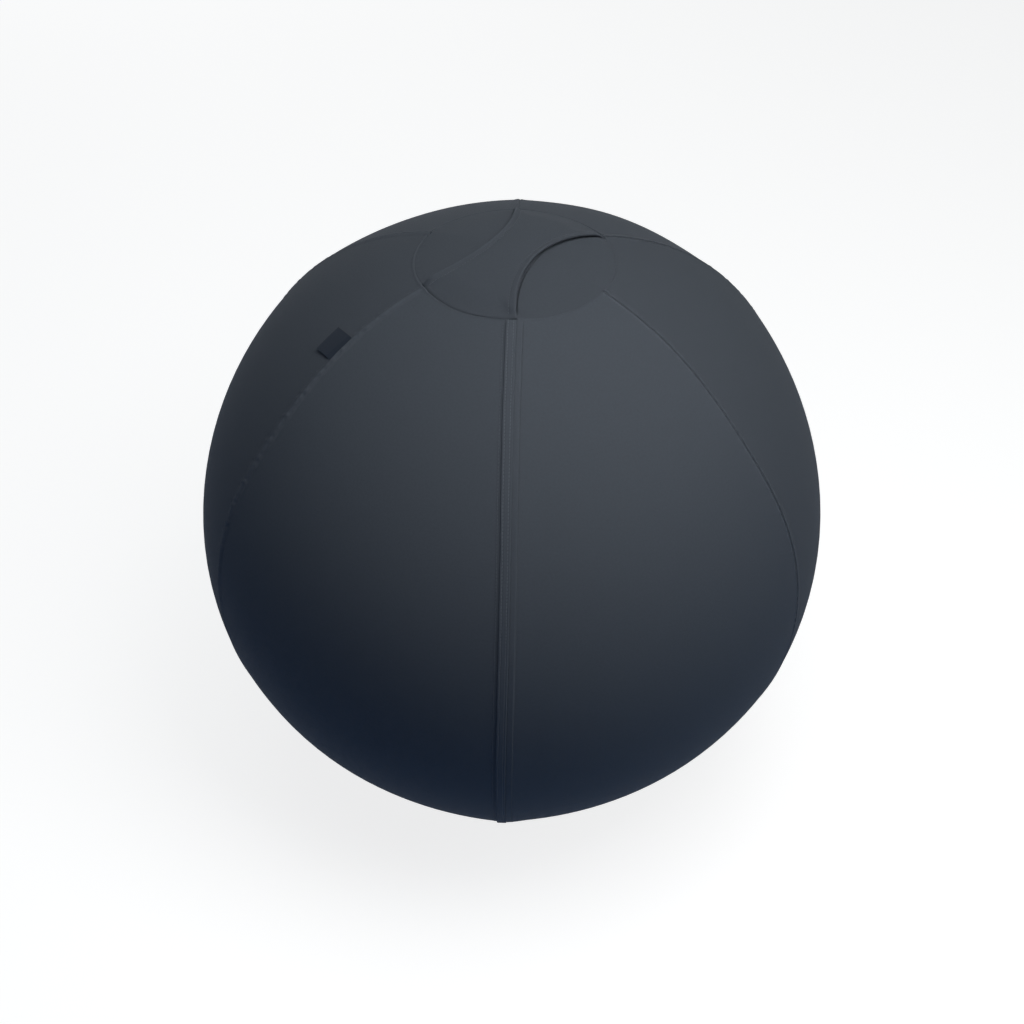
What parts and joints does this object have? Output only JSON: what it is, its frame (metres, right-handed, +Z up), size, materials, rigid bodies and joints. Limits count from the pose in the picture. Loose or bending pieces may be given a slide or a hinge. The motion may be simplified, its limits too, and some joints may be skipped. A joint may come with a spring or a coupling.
{
  "type": "sitting ball",
  "caption": "Round sitting ball: an air bladder in a sewn dark fabric cover with a strap handle on top, a covered zip down the front and a weighted flat base.",
  "frame": {"origin": "centre of the flat patch that the ball rests on, at floor level", "axes": "+Z up along the ball's axis to the handle, -Y to the front with the zip, +X to the viewer's right"},
  "size_m": [0.6498, 0.6527, 0.6504],
  "materials": {
    "cover_fabric": "matte",
    "base_fabric": "matte",
    "zip_tape": "matte",
    "zip_coil": "satin",
    "zip_metal": "satin",
    "label_band": "satin",
    "bladder_vinyl": "satin",
    "valve_plastic": "satin",
    "weight_fill": "matte"
  },
  "bodies": {
    "ball": {"panel_front_right": "cover_fabric", "panel_right": "cover_fabric", "panel_back_right": "cover_fabric", "panel_back_left": "cover_fabric", "panel_left": "cover_fabric", "panel_front_left": "cover_fabric", "top_panel": "cover_fabric", "base_panel": "base_fabric", "zip_lap": "cover_fabric", "zip_tape_left": "zip_tape", "zip_tape_right": "zip_tape", "zip_coil_left": "zip_coil", "zip_coil_right": "zip_coil", "zip_top_stop": "zip_metal", "zip_bottom_stop": "zip_metal", "bladder": "bladder_vinyl", "valve_seat": "valve_plastic", "valve_plug": "valve_plastic", "base_weight": "weight_fill", "base_liner": "base_fabric"},
    "handle": {"handle_face": "cover_fabric", "handle_lining": "base_fabric"},
    "slider": {"zip_slider": "zip_metal"},
    "pull": {"zip_pull": "zip_metal"},
    "label": {"side_label": "label_band"}
  },
  "joints": [
    {"name": "handle_lift", "type": "slide", "parent": "ball", "child": "handle", "axis": [0, 0, 1], "range_m": [0, 0.02], "deforming": ["handle_face", "handle_lining"]},
    {"name": "zip_slide", "type": "hinge", "parent": "ball", "child": "slider", "pos_m": [0, 0, 0.31941], "axis": [-1, 0, 0], "range_deg": [0, 113]},
    {"name": "pull_flip", "type": "hinge", "parent": "slider", "child": "pull", "pos_m": [0, -0.19902, 0.06185], "axis": [1, 0, 0], "range_deg": [0, 150], "deforming": ["zip_lap"]},
    {"name": "label_flip", "type": "hinge", "parent": "ball", "child": "label", "pos_m": [-0.1581, -0.09128, 0.58908], "axis": [0.7171, 0.414, 0.5606], "range_deg": [0, 95]}
  ]
}
